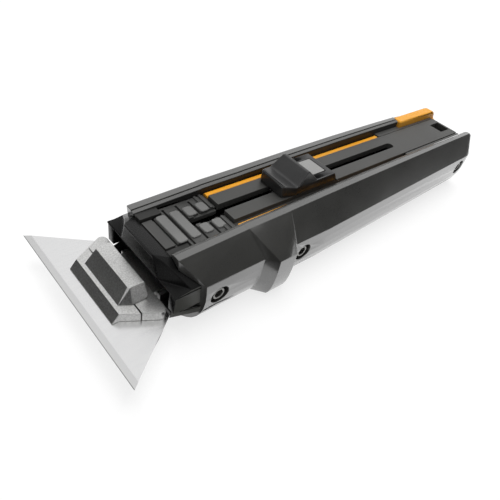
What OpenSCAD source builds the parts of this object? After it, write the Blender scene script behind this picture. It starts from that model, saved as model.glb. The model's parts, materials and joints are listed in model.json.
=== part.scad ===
// Sliding scraper with a trapezoid blade held crosswise in a jaw head.
// X runs along the tool with the cutting edge at -X, Z is up and the base lies at Z = 0.
// Stations named _x are measured from the cutting edge towards the tail.

/* [Body] */
// Distance from the cutting edge to the tail
tail_x = 178; // [176:0.5:190]
// Half width of the body behind the finger guard
body_half_w = 18.8; // [18.6:0.1:20]
// Half width of the body at the tail
tail_half_w = 15.1; // [15:0.1:16.5]
// Height of the shoulder line between the upper and the lower panel
shoulder_z = 15.8; // [15.2:0.1:16.6]
// Height of the rail tops at their highest point
rail_top_z = 25.5; // [25.2:0.1:27]
// Fall of the rail tops from the highest point to the front
rail_crown = 2.2; // [1:0.1:2.3]
// Half width over the rails at the front
rail_half_w = 12.7; // [12.5:0.1:13.4]
// Half width between the rails
rail_gap_half_w = 9.2; // [9.1:0.05:9.4]
// Wall thickness of the shells
wall = 2.6; // [2.3:0.1:2.8]

/* [Finger guard] */
// Half width over the finger guard
guard_half_w = 21.9; // [21:0.1:23.5]
// Station where the guard rises from the body
guard_start_x = 49.6; // [48.6:0.2:50.6]
// Station of the guard's front crest
guard_crest_x = 53.2; // [52.2:0.1:54]
// Length of the guard's crest
guard_crest_len = 6.8; // [5:0.1:7.2]

/* [Blade] */
// Length of the cutting edge
blade_len = 61; // [58:0.5:62]
// Length of the blade's back
blade_back_len = 33; // [31:0.5:34]
// Depth of the blade from edge to back
blade_depth = 19; // [18.6:0.1:19.2]
// Thickness of the blade
blade_thick = 0.6; // [0.4:0.05:0.7]
// Width of the ground bevel
blade_bevel_w = 1.7; // [1:0.1:3]

/* [Head] */
// Station of the jaw's front edge
jaw_front_x = 4.9; // [4.2:0.1:5.6]
// Half width of the jaw at its front edge
jaw_front_half_w = 11.5; // [11:0.1:12]
// Station of the cross seam behind the front jaw
seam_x = 11.8; // [11.5:0.1:12]
// Station of the rear edge of the head plate
head_rear_x = 18.2; // [17.8:0.1:18.6]
// Half width of the head plate at its rear edge
head_rear_half_w = 17.8; // [17:0.1:18.5]
// Height of the jaw's top above the base
jaw_top_z = 11.2; // [11:0.1:11.4]
// Height of the clamp block's top above the base
block_top_z = 15.9; // [15.6:0.1:16.4]
// Radius of the hinge pin
jaw_pin_r = 0.8; // [0.6:0.05:0.9]

/* [Slot and slider] */
// Half width of the slot
slot_half_w = 1.5; // [1.4:0.05:1.7]
// Station of the slot's front end
slot_front_x = 35.2; // [35:0.1:37]
// Station of the slot's rear end
slot_rear_x = 133.3; // [125:0.5:138]
// Height of the top plate above the base
plate_z = 22.9; // [22.8:0.05:23.2]
// Station of the slider's front lip
slider_front_x = 66.6; // [66.2:0.1:67]
// Length of the slider
slider_len = 25.4; // [25.2:0.1:28]
// Half width of the slider's base
slider_half_w = 6.6; // [6.3:0.1:7]
// Height of the slider's base top above the top plate
slider_base_t = 3.5; // [3.4:0.1:4]
// Height of the slider's ridge above its base top
ridge_t = 3.8; // [3:0.1:5]

/* [Screws] */
// Radius of the counterbores in the shells
counterbore_r = 3.13; // [2.8:0.05:3.3]
// Radius of the screw heads
screw_head_r = 2.1; // [1.9:0.05:2.4]
// Radius of the screw shanks
screw_r = 1.25; // [1:0.05:1.4]

/* [Hidden] */
$fn = 48;

// Gap of sliding pieces, gap of fitted pieces, play of a pin in its bore, overrun of cuts
run_gap = 0.2;
fit_gap = 0.05;
pin_play = 0.03;
over = 1;

// Stations and section of the body
crown_x = 135;
crown_run = 112;
taper_start_x = 78;
rail_taper_start_x = 85;
rail_taper = 1;
tail_round = 4.6;
tail_side_share = 0.35;
tail_base_share = 0.4;
tail_wall = 3.6;
corner_w = 4.6;
corner_h = 12.5;
guard_corner_w = 2.9;
guard_lead = [3.6, 6.6, -2, -0.6];
guard_back_len = 2.9;
guard_end_x = guard_crest_x + guard_crest_len;
guard_foot_x = guard_end_x + guard_back_len;
arc_steps = 6;
plate_t = 2.2;
ledge_z = plate_z - plate_t - 2 * fit_gap;
ledge_t = 1.6;
deck_z = ledge_z - ledge_t;
ledge_half_w = 7.4;
strip_bevel = 0.7;
rail_strip_w = 1;
rail_groove_y = rail_gap_half_w + rail_strip_w;
rail_groove_w = 0.3;
rail_groove_depth = 0.45;
rail_strip_drop = 0.15;
tail_groove_share = 0.3;
cheek_inner_y = 6.4;
cheek_drop = 0.5;
tail_wall_x = tail_x - tail_wall;

// Front rim of the shells, raked in plan and leaning back towards the base
rim_x = 22.9;
rim_z = rail_top_z - rail_crown;
rim_rake_share = 0.76;
rim_lean_share = 0.12;

// Nose housing: stations, half widths and heights of its corners
lip_x = 18.3;
lip_half_w = 6;
lip_z = 22.55;
lip_corner = 0.6;
lip_corner_w = 1;
foot_x = 20.4;
foot_half_w = 9.5;
foot_z = 21.6;
foot_corner_w = 2.3;
ear_x = 19.7;
ear_cover = 1.3;
ear_half_w = body_half_w - ear_cover;
ear_draft = 0.3;
ear_z = 15.1;
ear_rear_x = 24.6;
ear_rear_z = 15.9;
ear_inner_half_w = 9;
ear_bow = 0.4;
ear_base_z = 8.7;
ear_t = 3.2;
chin_top_z = 7.4;
chin_side_half_w = 14.6;
chin_side_z = 4.2;
chin_half_w = 10.6;
chin_z = 2.5;
chin_front_x = 20.2;
chin_rear_x = 29;
chin_share = [[0.57, 0.06], [0.82, 0.24], [0.97, 0.6], [1, 1]];
chin_front_half_w = 15.2;
chin_rear_half_w = 17.9;
nose_rear_x = 38.4;
nose_shelf_z = deck_z + run_gap;
nose_recess_depth = 3.4;
nose_recess_top_z = 14.5;

// Carriage guide shared by the nose, the frame and the sliding pieces
frame_base_z = wall + 2 * fit_gap;
guide_floor_t = 1;
guide_base_z = frame_base_z + guide_floor_t;
guide_half_w = 10.8;
guide_top_z = 11.6;
guide_rib_t = 1;
guide_rib_w = 1.2;
guide_rib_rear_x = 100;

// Head pieces
blade_z = 8;
blade_top_z = blade_z + blade_thick / 2;
blade_base_z = blade_z - blade_thick / 2;
head_rear_r = 1.6;
jaw_bevel_run = 2;
jaw_bevel_edge = 0.2;
seam_gap = 0.15;
lower_jaw_inset = 0.4;
tang_half_w = 8.7;
tang_rear_x = 31;
tang_z = 10;
tang_step = 0.3;
heel_r = 1.55;
jaw_pin_setback = 2.8;
jaw_pin_x = seam_x + jaw_pin_setback;
jaw_pin_z = jaw_top_z + heel_r + fit_gap;
jaw_pin_half_len = 9.2;
block_setback = 3.1;
block_side_lead = 0.5;
block_top_setback = 0.3;
block_front_x = jaw_front_x + block_setback;
block_front_half_w = 8.9;
block_side_x = seam_x - block_side_lead;
block_half_w = 10.7;
block_rear_x = jaw_pin_x + heel_r - fit_gap;
block_bevel_run = 3.1;
block_top_front_x = block_front_x + block_bevel_run;
block_top_half_w = 8.7;
block_top_corner = 0.5;
block_top_rear_x = block_rear_x - block_top_setback;
lug_r = 1.4;
lug_half_w = 2.4;
lug_pocket_r = 2.2;
lug_pocket_h = 2;
stud_r = 1.35;
stud_y = 7.6;
notch_half_w = 1.6;
notch_depth = 3.2;
rivet_r = 1.5;
rivet_head_r = 2.3;
rivet_head_t = 0.4;
rivet_y = 5;
rivet_x = 25.5;

// Carrier, post and shoes
slider_rear_x = slider_front_x + slider_len;
carrier_front_x = 20;
carrier_tail = 2.4;
carrier_rear_x = slider_rear_x + carrier_tail;
carrier_half_w = 10.2;
carrier_t = 1.3;
carrier_z = guide_base_z + run_gap;
carrier_top_z = carrier_z + carrier_t;
flange_top_z = 9.4;
window_half_w = 4.2;
window_len = 11;
window_pitch = 17;
window_count = 2;
window_x = 35;
neck_inset = 1.4;
post_front_x = slider_front_x + neck_inset;
post_half_w = 4.8;
post_z = 15.6;
neck_gap = 0.3;
neck_front_len = 12;
neck_rear_len = 1.8;
neck_rear_inset = 2;
neck_drop = 1.4;
shoe_lead = 6;
shoe_w = 1.9;
shoe_skirt_z = 4.3;

// Slider: lengths behind the front lip, heights against its base top
slider_gap = 0.2;
slider_z = plate_z + slider_gap;
slider_top_z = plate_z + slider_base_t;
lip_rise = 0.6;
lip_round = 0.6;
lip_len = 1.3;
scoop_len = 3.9;
scoop_drop = 0.3;
ridge_front_len = 4;
ridge_flat_len = 1;
ridge_back_len = 4.2;
ridge_round = 0.5;
ridge_inset = 0.7;
slider_rear_slope = 2.2;
slider_round = 1.2;
slider_lip_inset = 1.3;
pocket_x = 14.6;
pocket_len = 6.6;
pocket_half_w = 4;
slider_pin_r = 0.6;
slider_pin_x = 10;
slider_pin_z = 0.95;
slider_pin_inset = 1.6;

// Lock under the slider
button_gap = 0.2;
button_t = 1.2;
button_round = 0.5;
lock_travel = 1.2;
stem_len = 3;
stem_half_w = 1.1;
tongue_t = 1.4;
tongue_half_w = 6.2;
rack_t = 1.2;
rack_half_w = 6.6;
rack_inner_y = 2.6;
rack_front_x = 48.5;
rack_rear_x = 128;
rack_pitch = 8.15;
rack_notch_len = 3.6;
rack_notch_depth = 0.8;
coil_r = 1.45;
coil_wire_r = 0.25;
coil_turns = 5;
coil_pocket_r = 2;
coil_pocket_depth = 3.6;

// Top plate, strips and pad
plate_half_w = 6.35;
plate_front_x = 46.8;
plate_tail = 4.7;
plate_rear_x = tail_x - plate_tail;
plate_flange_t = 0.65;
flange_half_w = rail_gap_half_w - 2 * fit_gap;
flange_z = ledge_z + fit_gap;
strip_gap = 0.3;
strip_inner_y = plate_half_w + strip_gap;
strip_rail_gap = 0.45;
strip_drop = 0.5;
strip_round = 0.7;
strip_rear_x = 133.2;
land_drop = 0.12;
pad_drop = 1.3;
pad_z = plate_z - pad_drop;
pad_front_x = 23.6;
pad_half_w = 6;
pad_step_x = 30.6;
pad_gap = 0.3;
groove_w = 0.7;
groove_depth = 0.8;
groove_pitch = 4.5;
groove_x = 26.8;
groove_count = 4;
rib_w = 0.9;
rib_h = 0.5;
rib_count = 2;
slot_mouth_half_w = 2.2;
slot_mouth_len = 3;

// Lanyard opening
lanyard_tail = 11.9;
lanyard_x = tail_x - lanyard_tail;
lanyard_len = 6.2;
lanyard_half_w = 2.95;
lanyard_floor_z = 11.2;
lanyard_exit_z = 16.9;

// Frame and screws
frame_wall = 1.8;
frame_half_w = guide_half_w + frame_wall;
frame_front_x = nose_rear_x + fit_gap;
frame_rear_x = tail_wall_x - fit_gap;
frame_floor_t = 0.7;
frame_step_x = 104;
frame_corner_len = 14;
frame_corner_y = 6.4;
nose_screw_inset = 4.2;
guard_screw_gap = 1.8;
tail_screw_inset = 7.2;
screw_x = [nose_rear_x - nose_screw_inset, guard_foot_x + counterbore_r + guard_screw_gap,
           tail_x - tail_screw_inset];
screw_z = [9.5, 10.2, 11];
counterbore_depth = 3.4;
boss_wall = 1.2;
boss_r = counterbore_r + boss_wall;
boss_inset = 0.9;
seat_t = 1.7;
screw_head_t = 1.5;
socket_r = 1.15;
socket_depth = 1;
socket_sides = 6;
insert_r = 2.1;
insert_len = 2.6;
insert_boss_wall = 1.2;

// Magazine
tray_t = 0.6;
tray_half_w = blade_depth / 2 + run_gap + tray_t;
tray_z = frame_base_z + frame_floor_t + run_gap;
tray_h = 3;
tray_top_z = tray_z + tray_h;
tray_play = 3.3;
tray_x = tail_wall_x - blade_len - tray_play - tray_t;
tray_rear_inset = 0.6;
tray_rear_x = tail_x - tray_rear_inset;
tab_len = 28.2;
tab_x = tray_rear_x - tab_len;
tab_overhang = 1.3;
tab_outer_y = 12.2;
tab_inner_y = rail_gap_half_w - tab_overhang;
tab_drop = 0.2;
tab_z = rail_top_z - tab_drop;
tab_base_z = flange_z + plate_flange_t + run_gap;
tab_round = 0.8;
tab_tail_round = 3.4;
web_inner_y = 6;
web_outer_y = 10.4;
spare_count = 3;
spare_gap = 0.05;
leaf_t = 0.25;
leaf_half_w = 3;
leaf_len = 24;
leaf_x = tray_x + tray_half_w * 2;
roof_rise = 0.9;
roof_z = tray_top_z + roof_rise;
roof_t = 0.8;
roof_len = 30;

// Colours as seen on the tool
dark_grey = "#3c3c3b";
mid_grey = "#6b6b69";
black_plastic = "#181818";
orange_plastic = "#ffa626";
satin_steel = "#b9b9b6";
blade_steel = "#e2e2e2";
brass_tone = "#b08d4a";

// Fall of the surface at the rounded tail
function tail_fall(x) =
    x <= tail_x - tail_round ? 0 :
    tail_round - sqrt(max(0, pow(tail_round, 2) - pow(x - tail_x + tail_round, 2)));

// Height of the rail tops at station x
function rail_z(x) = rail_top_z - rail_crown * pow((x - crown_x) / crown_run, 2) - tail_fall(x);

// Half width over the rails at station x
function rail_w(x) =
    rail_half_w - rail_taper * pow(max(0, (x - rail_taper_start_x) / (tail_x - rail_taper_start_x)), 2)
    - tail_side_share * tail_fall(x);

// Half width of the plain body at station x
function plain_w(x) =
    body_half_w - (body_half_w - tail_half_w) * max(0, (x - taper_start_x) / (tail_x - taper_start_x))
    - tail_side_share * tail_fall(x);

// Share of the finger guard at station x: 0 on the plain body and 1 on the crest
function guard_share(x) = lookup(x, [[guard_start_x, 0], [guard_crest_x, 1], [guard_end_x, 1],
                                     [guard_foot_x, 0]]);

// Lead of the guard's lines at the rail over their station at the shoulder
function rail_lead(x) = lookup(x, [[rim_x, 0], [guard_start_x, guard_lead[0]],
                                   [guard_crest_x, guard_lead[1]], [guard_end_x, guard_lead[2]],
                                   [guard_foot_x, guard_lead[3]], [taper_start_x, 0]]);

// Section of the body's right half at station x, from the middle of the base outwards, round the
// rail with its groove and bevel, and back along the ledge
function half_section(x) =
    let (s = guard_share(x),
         w = plain_w(x) + s * (guard_half_w - body_half_w),
         cw = corner_w + s * (guard_corner_w - corner_w),
         base = tail_base_share * tail_fall(x),
         top = max(rail_z(x), ledge_z + rail_groove_w),
         k = max(tail_groove_share, min(1, (top - ledge_z) / ledge_t)))
    concat([[0, base]],
           [for (i = [0:arc_steps])
               let (a = 90 * i / arc_steps)
               [w - cw + cw * sin(a), corner_h - (corner_h - base) * cos(a)]],
           [[w, min(shoulder_z, top - over)], [max(rail_w(x), rail_groove_y + 2 * rail_groove_w), top],
            [rail_groove_y + rail_groove_w, top],
            [rail_groove_y + rail_groove_w, top - rail_groove_depth * k],
            [rail_groove_y, top - rail_groove_depth * k], [rail_groove_y, top - rail_strip_drop * k],
            [rail_gap_half_w, top - strip_bevel * k], [rail_gap_half_w, ledge_z - fit_gap * k],
            [0, ledge_z - fit_gap * k]]);

// Hollow of the right half at station x, drawn in by the wall under a flat deck
function cavity_section(x) =
    let (w = plain_w(x) - wall)
    concat([[-over, wall]],
           [for (i = [0:arc_steps])
               let (a = 90 * i / arc_steps)
               [w - (corner_w - wall) * (1 - sin(a)), corner_h - (corner_h - wall) * cos(a)]],
           [[w, shoulder_z - wall / 2], [rail_w(x), deck_z], [-over, deck_z]]);

// Solid through rings of points given as [x, y, z], all with the same count
module loft(rings) {
    n = len(rings[0]);
    m = len(rings);
    sides = [for (i = [0:m - 2]) for (j = [0:n - 1]) let (k = (j + 1) % n)
        each [[i * n + j, (i + 1) * n + j, (i + 1) * n + k], [i * n + j, (i + 1) * n + k, i * n + k]]];
    polyhedron(points = [for (r = rings) each r],
               faces = concat([[for (j = [0:n - 1]) j]], sides,
                              [[for (j = [0:n - 1]) m * n - 1 - j]]));
}

// Arc of radius r that rounds corner p between its neighbours a and b
function unit(v) = v / norm(v);
function arc_at(a, p, b, r) =
    let (u = unit(a - p),
         v = unit(b - p),
         half = acos(u * v) / 2,
         c = p + unit(u + v) * r / sin(half),
         s = p + u * r / tan(half) - c,
         turn = sign(cross(s, p + v * r / tan(half) - c)) * (180 - 2 * half))
    [for (i = [0:arc_steps])
        let (t = turn * i / arc_steps)
        c + [s[0] * cos(t) - s[1] * sin(t), s[0] * sin(t) + s[1] * cos(t)]];

// Outline with each corner of points rounded by its own radius
function rounded(points, radii) =
    let (n = len(points))
    [for (i = [0:n - 1])
        each (radii[i] == 0 ? [points[i]]
            : arc_at(points[(i + n - 1) % n], points[i], points[(i + 1) % n], radii[i]))];

// Half outline followed by its mirror image on the other side
function both_sides(half) = concat(half, [for (i = [len(half) - 1:-1:0]) [-half[i][0], half[i][1]]]);

// Places a piece that is drawn from the cutting edge in the tool's own frame
module placed() translate([-tail_x / 2, 0, 0]) children();

// Block between stations x0 and x1, sides y0 and y1 and heights z0 and z1
module block(x0, x1, y0, y1, z0, z1) translate([x0, y0, z0]) cube([x1 - x0, y1 - y0, z1 - z0]);

// Block that is centred across the tool
module slab(x0, x1, half_w, z0, z1) block(x0, x1, -half_w, half_w, z0, z1);

// Prism across the tool of a profile drawn as [x, z]
module across(half_w) translate([0, half_w, 0]) rotate([90, 0, 0]) linear_extrude(2 * half_w) children();

// Prism along the tool of a section drawn as [y, z]
module along(x0, x1) translate([x0, 0, 0]) rotate([90, 0, 90]) linear_extrude(x1 - x0) children();

// Rod across the tool from y0 to y1
module cross_rod(x, z, r, y0, y1) translate([x, y1, z]) rotate([90, 0, 0]) cylinder(r = r, h = y1 - y0);

// Draws a piece on both sides of the tool
module mirrored() {
    children();
    mirror([0, 1, 0]) children();
}

// Stations of the body's loft, which runs past the tail and is cut off square there
body_stations = [rim_x - over, guard_start_x, guard_crest_x, guard_end_x, guard_foot_x,
                 taper_start_x, rail_taper_start_x, (rail_taper_start_x + crown_x) / 2, crown_x,
                 (crown_x + tail_x - tail_round) / 2, tail_x - tail_round, tail_x - tail_round * 0.6,
                 tail_x - tail_round * 0.3, tail_x - tail_round * 0.1, tail_x,
                 tail_x + over];

module half_body() {
    shoulder = arc_steps + 2;
    loft([for (x = body_stations)
        let (section = half_section(x))
        [for (i = [0:len(section) - 1])
            [i > shoulder ? x - rail_lead(x) : x, section[i][0], section[i][1]]]]);
}

module half_cavity() {
    loft([for (x = [nose_rear_x, taper_start_x, crown_x, tail_wall_x])
        [for (p = cavity_section(x)) [x, p[0], p[1]]]]);
}

// Everything in front of the shells' rim, drawn back by gap
module before_rim(gap) {
    reach = body_half_w * 2;
    rake = (reach - rail_half_w) * rim_rake_share;
    translate([rim_x - gap, 0, rim_z]) rotate([0, -atan(rim_lean_share), 0])
        translate([0, 0, -reach]) linear_extrude(reach * 2)
            polygon([[-reach, -reach], [rake, -reach], [0, -rail_half_w], [0, rail_half_w],
                     [rake, reach], [-reach, reach]]);
}

// Contour of the nose housing as [y, z], grown by gap
module nose_contour(gap) {
    polygon(both_sides([[lip_half_w + gap, lip_z + gap], [foot_half_w + gap, foot_z + gap],
                        [ear_half_w + gap, ear_rear_z + gap], [ear_half_w - ear_draft + gap, ear_base_z],
                        [chin_side_half_w + gap, chin_side_z - gap], [chin_half_w + gap, chin_z - gap]]));
}

// Draws children at each screw of one side: $floor_y lies under the head, $end_y behind the seat
module at_screws() {
    for (i = [0:len(screw_x) - 1]) {
        $x = screw_x[i];
        $z = screw_z[i];
        $floor_y = plain_w(screw_x[i]) - counterbore_depth;
        $end_y = plain_w(screw_x[i]) - counterbore_depth - seat_t;
        children();
    }
}

module half_shell() {
    difference() {
        union() {
            difference() {
                half_body();
                half_cavity();
                along(rim_x - over * 2, nose_rear_x + fit_gap) nose_contour(fit_gap);
            }
            block(pad_front_x - pad_gap + fit_gap, pad_step_x - pad_gap, cheek_inner_y, rail_gap_half_w,
                  ledge_z, plate_z - cheek_drop);
            at_screws() cross_rod($x, $z, boss_r, $end_y, $floor_y + counterbore_depth - boss_inset);
        }
        before_rim(0);
        block(tail_x, tail_x + 2 * over, -over, guard_half_w, -over, rail_top_z + over);
        block(nose_rear_x, slot_rear_x + wall, -over, ledge_half_w, deck_z - over, ledge_z + over);
        block(lanyard_x, lanyard_x + lanyard_len, -over, lanyard_half_w, deck_z - over, ledge_z + over);
        at_screws() {
            cross_rod($x, $z, counterbore_r, $floor_y, guard_half_w + over);
            cross_rod($x, $z, screw_r + pin_play, $end_y - over, guard_half_w);
        }
        block(tail_wall_x - over, tail_x + over, -over, tray_half_w + run_gap, tray_z - run_gap,
              tray_top_z + run_gap);
        block(tail_wall_x - over, tail_x + over, -over, lanyard_half_w, lanyard_floor_z, lanyard_exit_z);
    }
}

module left_shell() {
    color(dark_grey) placed() mirror([0, 1, 0]) half_shell();
}

module right_shell() {
    color(dark_grey) placed() difference() {
        half_shell();
        block(tab_x - run_gap, tail_x + over, ledge_half_w, tab_outer_y + run_gap,
              tab_base_z - run_gap, rail_top_z + over);
        block(tail_wall_x - over, tail_x + over, web_inner_y - run_gap, web_outer_y + run_gap,
              tray_z, tab_base_z + over);
    }
}

// Channel inside the shells that guides the carriage and holds the screws and the magazine
module inner_frame() {
    color(black_plastic) placed() difference() {
        union() {
            intersection() {
                union() {
                    mirrored() block(frame_front_x, frame_rear_x, guide_half_w, frame_half_w,
                                     frame_base_z, deck_z - fit_gap);
                    slab(frame_front_x, frame_step_x, frame_half_w, frame_base_z, guide_base_z);
                    slab(frame_front_x, frame_rear_x, frame_half_w, frame_base_z, tray_z - run_gap);
                    slab(leaf_x, leaf_x + roof_len, frame_half_w, roof_z, roof_z + roof_t);
                    mirrored() block(frame_front_x, guide_rib_rear_x, guide_half_w - guide_rib_w,
                                     frame_half_w, guide_top_z, guide_top_z + guide_rib_t);
                    mirrored() block(frame_rear_x - frame_corner_len, frame_rear_x, frame_corner_y,
                                     frame_half_w, tray_top_z + run_gap, deck_z - fit_gap);
                }
                mirrored() translate([0, -fit_gap, 0]) half_cavity();
            }
            mirrored() at_screws() if ($x > frame_front_x && $end_y > guide_half_w + over)
                cross_rod($x, $z, insert_r + insert_boss_wall, guide_half_w, $end_y - fit_gap);
        }
        mirrored() at_screws() if ($x > frame_front_x) {
            cross_rod($x, $z, insert_r + pin_play, $end_y - insert_len - fit_gap, $end_y + over);
            cross_rod($x, $z, boss_r + fit_gap, $end_y - fit_gap, body_half_w);
        }
    }
}

// Upper part of the nose as level rings from the ears' edge up to the lip, for one side
nose_rings = [
    [[ear_x - ear_bow, ear_inner_half_w], [ear_x, ear_half_w], ear_z],
    [[ear_x - ear_bow, ear_inner_half_w], [ear_rear_x, ear_half_w], ear_rear_z],
    [[lip_x + lip_corner, foot_half_w - foot_corner_w], [foot_x, foot_half_w], foot_z],
    [[lip_x, lip_half_w], [lip_x + lip_corner, lip_half_w + lip_corner_w], lip_z]];

module nose_housing() {
    color(black_plastic) placed() difference() {
        union() {
            loft([for (r = nose_rings)
                [[r[0][0], -r[0][1], r[2]], [r[1][0], -r[1][1], r[2]], [nose_rear_x, -r[1][1], r[2]],
                 [nose_rear_x, r[1][1], r[2]], [r[1][0], r[1][1], r[2]], [r[0][0], r[0][1], r[2]]]]);
            intersection() {
                along(ear_x, nose_rear_x) nose_contour(0);
                slab(ear_x, nose_rear_x, ear_half_w, ear_base_z, ear_z);
            }
            intersection() {
                along(ear_x + nose_recess_depth, nose_rear_x) nose_contour(0);
                slab(ear_x, nose_rear_x, ear_half_w, chin_z, ear_base_z + over);
            }
            intersection() {
                loft([for (s = [[chin_front_x, chin_front_half_w], [chin_rear_x, chin_rear_half_w]])
                    [for (p = both_sides(chin_share)) [s[0], p[0] * s[1], p[1] * chin_top_z]]]);
                before_rim(fit_gap);
            }
        }
        across(ear_half_w) polygon([[lip_x + lip_corner, lip_z], [pad_front_x - pad_gap, pad_z],
            [pad_front_x - pad_gap, nose_shelf_z], [nose_rear_x + over, nose_shelf_z],
            [nose_rear_x + over, lip_z + over], [lip_x + lip_corner, lip_z + over]]);
        slab(lip_x, ear_x + nose_recess_depth, ear_half_w - ear_t, chin_top_z, nose_recess_top_z);
        slab(lip_x, nose_rear_x + over, guide_half_w, guide_base_z, guide_top_z);
        slab(slot_front_x - run_gap, nose_rear_x + over, post_half_w + run_gap, guide_base_z,
             nose_shelf_z + over);
        mirrored() at_screws() if ($x < nose_rear_x) {
            cross_rod($x, $z, boss_r + fit_gap, $end_y - fit_gap, body_half_w);
            cross_rod($x, $z, insert_r + pin_play, $end_y - insert_len - fit_gap, body_half_w);
        }
    }
}

module top_plate() {
    color(mid_grey) placed() difference() {
        union() {
            slab(plate_front_x, plate_rear_x, plate_half_w, plate_z - plate_t, plate_z);
            slab(plate_front_x, plate_rear_x, flange_half_w, flange_z, flange_z + plate_flange_t);
            mirrored() block(strip_rear_x + strip_gap, plate_rear_x, strip_inner_y, flange_half_w, flange_z,
                             plate_z - land_drop);
        }
        slab(plate_front_x - over, slot_rear_x - slot_half_w, slot_half_w, ledge_z - over, plate_z + over);
        translate([slot_rear_x - slot_half_w, 0, ledge_z - over])
            cylinder(r = slot_half_w, h = plate_t + 2 * over);
        slab(lanyard_x, lanyard_x + lanyard_len, lanyard_half_w, ledge_z - over, plate_z + over);
        block(tab_x - run_gap, plate_rear_x + over, tab_inner_y - run_gap, rail_gap_half_w + over,
              tab_base_z - run_gap, plate_z + over);
    }
}

module thumb_pad() {
    wide_half_w = rail_gap_half_w - pad_gap;
    rear_x = plate_front_x - pad_gap;
    base_z = nose_shelf_z + fit_gap;
    color(black_plastic) placed() difference() {
        union() {
            slab(pad_front_x, rear_x, pad_half_w, base_z, pad_z);
            slab(pad_step_x, rear_x, ledge_half_w - fit_gap, base_z, pad_z);
            slab(pad_step_x, rear_x, wide_half_w, flange_z, pad_z);
            for (i = [1:rib_count])
                slab(rear_x - 2 * i * rib_w, rear_x - (2 * i - 1) * rib_w, wide_half_w, pad_z, pad_z + rib_h);
        }
        for (i = [0:groove_count - 1])
            slab(groove_x + i * groove_pitch, groove_x + i * groove_pitch + groove_w,
                 wide_half_w - groove_w, pad_z - groove_depth, pad_z + over);
        slab(slot_front_x, rear_x + over, slot_half_w, base_z - over, pad_z + over);
        slab(slot_front_x + slot_mouth_len, rear_x + over, slot_mouth_half_w, pad_z - groove_depth,
             pad_z + over);
    }
}

// Rounded strip in the groove between the plate and the rail
module accent_strip() {
    top = plate_z - strip_drop;
    base = flange_z + plate_flange_t;
    outer = rail_gap_half_w - strip_rail_gap;
    along(plate_front_x, strip_rear_x)
        polygon(rounded([[strip_inner_y, base], [outer, base], [outer, top], [strip_inner_y, top]],
                        [0, 0, strip_round, strip_round]));
}

module left_accent_strip() {
    color(orange_plastic) placed() mirror([0, 1, 0]) accent_strip();
}

module right_accent_strip() {
    color(orange_plastic) placed() accent_strip();
}

module body_screws() {
    color(satin_steel) placed() mirrored() at_screws() difference() {
        union() {
            cross_rod($x, $z, screw_head_r, $floor_y, $floor_y + screw_head_t);
            cross_rod($x, $z, screw_r, $end_y - insert_len, $floor_y);
        }
        translate([$x, $floor_y + screw_head_t - socket_depth, $z]) rotate([-90, 0, 0])
            cylinder(r = socket_r, h = socket_depth + over, $fn = socket_sides);
    }
}

module screw_inserts() {
    color(brass_tone) placed() mirrored() at_screws() difference() {
        cross_rod($x, $z, insert_r, $end_y - insert_len - fit_gap, $end_y - fit_gap);
        cross_rod($x, $z, screw_r + pin_play, $end_y - insert_len - over, $end_y + over);
    }
}

// Lock: the tongue's place and the pair of notched strips under the plate that it catches
rack_z = flange_z - rack_t;
tongue_x = slider_front_x + pocket_x + (pocket_len - stem_len) / 2;
tongue_top_z = rack_z - run_gap;
tongue_z = tongue_top_z - tongue_t;

module lock_rack() {
    ahead = floor((tongue_x - rack_front_x) / rack_pitch);
    behind = floor((rack_rear_x - tongue_x - stem_len) / rack_pitch);
    side = (rack_notch_len - stem_len) / 2;
    color(satin_steel) placed() mirrored() difference() {
        block(rack_front_x, rack_rear_x, rack_inner_y, rack_half_w, rack_z, rack_z + rack_t);
        for (i = [-ahead:behind])
            block(tongue_x + i * rack_pitch - side, tongue_x + i * rack_pitch + stem_len + side,
                  0, rack_half_w + over, rack_z - over, rack_z + rack_notch_depth);
    }
}

// Plan outline of the head, drawn in by inset
module head_plan(inset) {
    half = [[jaw_front_x + inset, jaw_front_half_w - inset],
            [jaw_front_x + jaw_bevel_run, jaw_front_half_w - inset],
            [head_rear_x - inset / 2, head_rear_half_w - inset]];
    points = concat(half, [for (i = [2:-1:0]) [half[i][0], -half[i][1]]]);
    polygon(rounded(points, [0, 0, head_rear_r, head_rear_r, 0, 0]));
}

jaw_base_z = blade_top_z + fit_gap;
lower_jaw_z = blade_base_z - fit_gap;
stud_x = blade_depth - stud_r - pin_play;

module lower_jaw() {
    color(satin_steel) placed() difference() {
        union() {
            intersection() {
                translate([0, 0, carrier_top_z]) linear_extrude(lower_jaw_z - carrier_top_z)
                    head_plan(lower_jaw_inset);
                across(head_rear_half_w) polygon([[jaw_front_x, lower_jaw_z],
                    [jaw_front_x + jaw_bevel_run, carrier_top_z], [head_rear_x, carrier_top_z],
                    [head_rear_x, lower_jaw_z]]);
            }
            slab(head_rear_x - over, tang_rear_x, tang_half_w, carrier_top_z, lower_jaw_z);
        }
        mirrored() {
            translate([stud_x, stud_y, 0]) cylinder(r = stud_r + pin_play, h = tang_z);
            translate([rivet_x, rivet_y, 0]) cylinder(r = rivet_r + pin_play, h = tang_z);
        }
    }
}

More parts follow.
